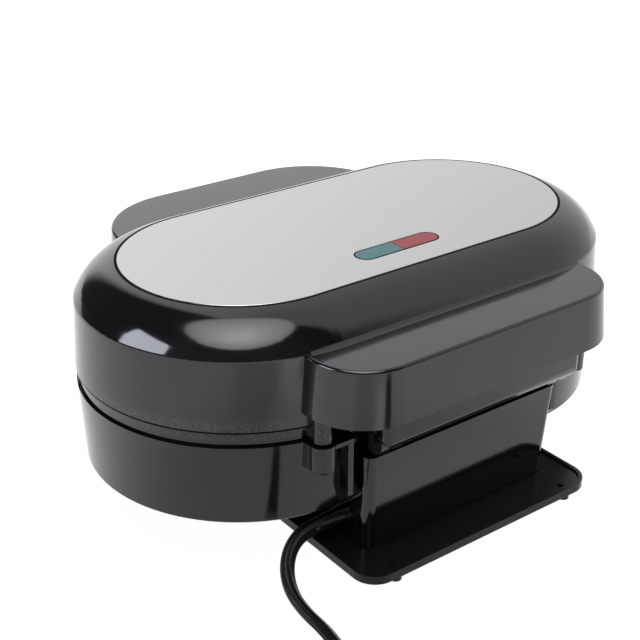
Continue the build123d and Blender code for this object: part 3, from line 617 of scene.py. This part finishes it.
# The lid frame's rim and skirt are as glossy as the shell, so it takes the same finish.
FINISHES = {
    ABS: ("lid_shell", "lid_frame", "lower_shell", "pedestal", "latch", "latch_catch"),
    PBT: ("lower_frame",),
    PP: ("base_plate",),
    STEEL: ("top_trim_plate",),
    GREEN: ("ready_lens",),
    RED: ("power_lens",),
    PVC: ("strain_relief", "power_cord", "cord_coil", "plug_body"),
    CONTACT: ("plug_pins",),
    COATING: ("lower_cooking_plate", "upper_cooking_plate"),
    SHEATH: ("lower_heating_element", "upper_heating_element"),
    TINPLATE: ("lower_reflector", "upper_reflector"),
    ZINC: ("neck_screws", "base_screws", "lid_screws", "lower_plate_screws", "upper_plate_screws"),
    PIN_STEEL: ("hinge_pins", "latch_pin"),
    PHENOLIC: ("thermostat", "thermal_fuse"),
    NYLON: ("terminal_block", "lamp_bracket"),
    GLASS: ("indicator_lamps",),
}


def finish_pieces():
    """Give every CAD node and every new piece its material."""
    for material, names in FINISHES.items():
        for name in names:
            NODES[name].data.materials.clear()
            NODES[name].data.materials.append(material)
    for material, pieces in ((PVC, (CORD, RELIEF)), (GAP_SHADE_BLACK, GAP_SHADE_STRIPS), (ABS, ROUNDED)):
        for piece in pieces:
            piece.data.materials.append(material)


finish_pieces()
for piece in (CORD, NODES["plug_body"], NODES["plug_pins"]):
    piece.visible_glossy = False            # keeps the coil's rings out of the glossy walls


# ---- floor -------------------------------------------------------------------------------------
ROOM_COLOUR = (0.985, 0.985, 1.02, 1)       # light from the floor and the walls, a little cool
FLOOR_HALF = 12.0
# Painted shade: the floor glows less round the object, as though the object shaded it. It shows in
# the glossy walls and in the light that the floor throws; seen directly the floor stays white.
PAINTED_SHADE_SPOT = (0.06, 0.115, 0)                 # where the floor glows least
PAINTED_SHADE_REACH = (0.10, 0.22)                    # from the spot to where more light begins and ends
PAINTED_SHADE_GLOW, FULL_GLOW = 0.88, 1.32
# Painted reflections and painted light on the floor, which show only in the glossy walls: a dark
# line that stands in for the reflection of the cord where it would lie if it ran straight off, a
# dark patch that stands in for the reflection of a stand further out, and a patch of painted light
# and a patch of painted shade in front of it.
# Middle, direction, half length, half width, gain, softness of the edge.
PAINTED_FLOOR_MARKS = [
    ((93.5 * MM, 122 * MM), 83.4, 26 * MM, 4.4 * MM, 0.05, 0.25),
    ((30 * MM, 320 * MM), 112.0, 52 * MM, 20 * MM, 0.05, 0.35),
    ((78 * MM, 268 * MM), 103.0, 70 * MM, 36 * MM, 1.50, 0.5),
    ((185 * MM, 275 * MM), 60.0, 90 * MM, 60 * MM, 0.78, 0.5),
]


def make_floor():
    """White paper that glows, so nothing casts a hard shadow on it. Its glow carries painted shade,
    less close to the object, and the painted marks; seen directly it stays plain white.

    From below it is clear, so that the underside can be looked at."""
    mesh = bmesh.new()
    bmesh.ops.create_grid(mesh, x_segments=1, y_segments=1, size=FLOOR_HALF)
    floor = mesh_object("floor", mesh)
    material, tree, shader, place = new_material(
        "paper_lit", Base_Color=linear("#242424"), Roughness=0.9, Specular_IOR_Level=0.0,
        Emission_Color=ROOM_COLOUR)
    # Painted shade: less glow close to the object.
    away = add_node(tree, "ShaderNodeVectorMath", {0: place, 1: PAINTED_SHADE_SPOT}, operation="DISTANCE")
    glow = add_node(tree, "ShaderNodeMapRange", {
        "Value": away.outputs["Value"], "From Min": PAINTED_SHADE_REACH[0], "From Max": PAINTED_SHADE_REACH[1],
        "To Min": PAINTED_SHADE_GLOW, "To Max": FULL_GLOW}, interpolation_type="SMOOTHSTEP")
    light = glow.outputs["Result"]
    # Each mark's painted reflection, painted light or painted shade dims or lightens the glow.
    for (x, y), turn, half_length, half_width, gain, soft in PAINTED_FLOOR_MARKS:
        line = add_node(tree, "ShaderNodeMapping", {
            "Vector": place, "Location": (x, y, 0), "Rotation": (0, 0, math.radians(turn)),
            "Scale": (half_length, half_width, 1)}, vector_type="TEXTURE")
        size = add_node(tree, "ShaderNodeVectorMath", {0: line.outputs["Vector"]},
                        operation="ABSOLUTE")
        across = add_node(tree, "ShaderNodeSeparateXYZ", {0: size.outputs["Vector"]})
        reach = add_node(tree, "ShaderNodeMath", {0: across.outputs["X"], 1: across.outputs["Y"]},
                         operation="MAXIMUM")
        change = add_node(tree, "ShaderNodeMapRange", {
            "Value": reach.outputs[0], "From Min": 1 - soft, "From Max": 1 + soft,
            "To Min": gain, "To Max": 1.0}, interpolation_type="SMOOTHSTEP")
        light = add_node(tree, "ShaderNodeMath", {0: light, 1: change.outputs["Result"]},
                         operation="MULTIPLY").outputs[0]
    seen = add_node(tree, "ShaderNodeLightPath").outputs["Is Camera Ray"]
    total = add_node(tree, "ShaderNodeMath", {0: light, 1: seen}, operation="MAXIMUM")
    tree.links.new(total.outputs[0], shader.inputs["Emission Strength"])
    below = add_node(tree, "ShaderNodeNewGeometry").outputs["Backfacing"]
    clear = add_node(tree, "ShaderNodeBsdfTransparent")
    both = add_node(tree, "ShaderNodeMixShader", {
        0: below, 1: shader.outputs["BSDF"], 2: clear.outputs["BSDF"]})
    tree.links.new(both.outputs["Shader"], tree.nodes["Material Output"].inputs["Surface"])
    floor.data.materials.append(material)


# ---- light -------------------------------------------------------------------------------------
SOFTBOX_COLOUR = (0.94, 0.97, 1.07)         # a little cooler than the room
SOFTBOX_TARGET = Vector((0, 0, 0.09))       # the middle of the lid
WALL_MIDDLE = math.radians(146.5)           # of the white walls, anticlockwise from the camera
WALL_HALF = 68.5                            # degrees to each side of it
WALL_SOFT = 6.0                             # degrees over which white fades into black
WALL_TURN = (12, 55)                        # degrees anticlockwise over which the walls brighten
WALL_GLOW = (1.06, 1.48)
CLOTH_FACING = (0.2, 0.8)                   # from the side towards the camera
CLOTH_GLOW = (0.04, 0.13)
LOWEST = 0.05                               # least height of a direction that meets the ceiling
OVAL_FORWARD = 0.45                         # the oval overhead, for a height of 1
OVAL_LONG = 0.66
OVAL_WIDE = 0.50
OVAL_RIM = (0.95, 1.05)                     # where it fades out, with its own edge at 1
OVAL_FALL = (0.1, 1.0)                      # where it dims from its middle to its edge
OVAL_GLOW = (6.5, 2.8)
BACKDROP_GLOW = 1.1                         # of the plain white that the camera sees


def make_softbox(name, azimuth, elevation, roll, distance, size, radiance):
    """A softbox aimed at the lid, turned by roll about its aim.

    Azimuth is in degrees, anticlockwise from the camera."""
    turn = CAMERA_AZIMUTH + math.radians(azimuth)
    rise = math.radians(elevation)
    place = SOFTBOX_TARGET + distance * Vector((
        math.cos(rise) * math.cos(turn), math.cos(rise) * math.sin(turn), math.sin(rise)))
    data = bpy.data.lights.new(name, "AREA")
    data.shape = "RECTANGLE"
    data.size, data.size_y = size
    data.energy = radiance * math.pi * size[0] * size[1]
    data.color = SOFTBOX_COLOUR
    lamp = add_object(name, data)
    aim = (SOFTBOX_TARGET - place).to_track_quat("-Z", "Y").to_matrix().to_4x4()
    lean = Matrix.Rotation(math.radians(roll), 4, "Z")
    lamp.matrix_world = Matrix.Translation(place) @ aim @ lean


def make_world():
    """A studio with white walls behind and to the right, black cloth in front and to the left, and
    a big oval light overhead that is brightest in its middle.

    Seen directly it is plain white, so the background is white from every side."""
    world = bpy.data.worlds.new("studio")
    bpy.context.scene.world = world
    world.use_nodes = True
    tree = world.node_tree
    tree.nodes.clear()
    direction = add_node(tree, "ShaderNodeTexCoord").outputs["Generated"]
    ahead = add_node(tree, "ShaderNodeVectorRotate", {
        "Vector": direction, "Axis": (0, 0, 1), "Angle": -CAMERA_AZIMUTH},
        rotation_type="AXIS_ANGLE")
    up = add_node(tree, "ShaderNodeSeparateXYZ", {0: direction})

    turned = add_node(tree, "ShaderNodeVectorRotate", {
        "Vector": ahead.outputs["Vector"], "Axis": (0, 0, 1), "Angle": -WALL_MIDDLE},
        rotation_type="AXIS_ANGLE")
    parts = add_node(tree, "ShaderNodeSeparateXYZ", {0: turned.outputs["Vector"]})
    turn = add_node(tree, "ShaderNodeMath", {0: parts.outputs["Y"], 1: parts.outputs["X"]},
                    operation="ARCTAN2")
    off = add_node(tree, "ShaderNodeMath", {0: turn.outputs[0]}, operation="ABSOLUTE")
    level = add_node(tree, "ShaderNodeSeparateXYZ", {0: ahead.outputs["Vector"]})
    cloth = add_node(tree, "ShaderNodeMapRange", {
        "Value": level.outputs["X"], "From Min": CLOTH_FACING[0], "From Max": CLOTH_FACING[1],
        "To Min": CLOTH_GLOW[0], "To Max": CLOTH_GLOW[1]}, interpolation_type="SMOOTHSTEP")
    wall = add_node(tree, "ShaderNodeMapRange", {
        "Value": off.outputs[0], "From Min": math.radians(WALL_HALF - WALL_SOFT),
        "From Max": math.radians(WALL_HALF + WALL_SOFT),
        "To Min": 1.0, "To Max": cloth.outputs["Result"]}, interpolation_type="SMOOTHSTEP")
    side = add_node(tree, "ShaderNodeMapRange", {
        "Value": turn.outputs[0], "From Min": math.radians(WALL_TURN[0]),
        "From Max": math.radians(WALL_TURN[1]),
        "To Min": WALL_GLOW[0], "To Max": WALL_GLOW[1]}, interpolation_type="SMOOTHSTEP")
    sides = add_node(tree, "ShaderNodeMath", {0: wall.outputs["Result"], 1: side.outputs["Result"]},
                     operation="MULTIPLY")

    height = add_node(tree, "ShaderNodeMath", {0: up.outputs["Z"], 1: LOWEST}, operation="MAXIMUM")
    spread = add_node(tree, "ShaderNodeMath", {0: 1.0, 1: height.outputs[0]}, operation="DIVIDE")
    ceiling = add_node(tree, "ShaderNodeVectorMath", {
        0: ahead.outputs["Vector"], "Scale": spread.outputs[0]}, operation="SCALE")
    oval = add_node(tree, "ShaderNodeMapping", {
        "Vector": ceiling.outputs["Vector"], "Location": (OVAL_FORWARD, 0, 1),
        "Scale": (OVAL_LONG, OVAL_WIDE, 1)}, vector_type="TEXTURE")
    reach = add_node(tree, "ShaderNodeVectorMath", {0: oval.outputs["Vector"]}, operation="LENGTH")
    edge = add_node(tree, "ShaderNodeMapRange", {
        "Value": reach.outputs["Value"], "From Min": OVAL_RIM[0], "From Max": OVAL_RIM[1],
        "To Min": 1.0, "To Max": 0.0}, interpolation_type="SMOOTHSTEP")
    middle = add_node(tree, "ShaderNodeMapRange", {
        "Value": reach.outputs["Value"], "From Min": OVAL_FALL[0], "From Max": OVAL_FALL[1],
        "To Min": OVAL_GLOW[0], "To Max": OVAL_GLOW[1]})
    lamp = add_node(tree, "ShaderNodeMath", {
        0: edge.outputs["Result"], 1: middle.outputs["Result"]}, operation="MULTIPLY")
    total = add_node(tree, "ShaderNodeMath", {0: sides.outputs[0], 1: lamp.outputs[0]},
                     operation="MAXIMUM")

    room = add_node(tree, "ShaderNodeBackground", {
        "Color": ROOM_COLOUR, "Strength": total.outputs[0]})
    white = add_node(tree, "ShaderNodeBackground", {
        "Color": (1, 1, 1, 1), "Strength": BACKDROP_GLOW})
    seen = add_node(tree, "ShaderNodeLightPath").outputs["Is Camera Ray"]
    both = add_node(tree, "ShaderNodeMixShader", {
        0: seen, 1: room.outputs["Background"], 2: white.outputs["Background"]})
    add_node(tree, "ShaderNodeOutputWorld", {"Surface": both.outputs["Shader"]})


make_floor()
make_world()
make_softbox("softbox_left", azimuth=-64, elevation=24, roll=-12, distance=1.3,
             size=(0.62, 0.50), radiance=8.5)
bpy.context.scene.view_settings.view_transform = "Standard"
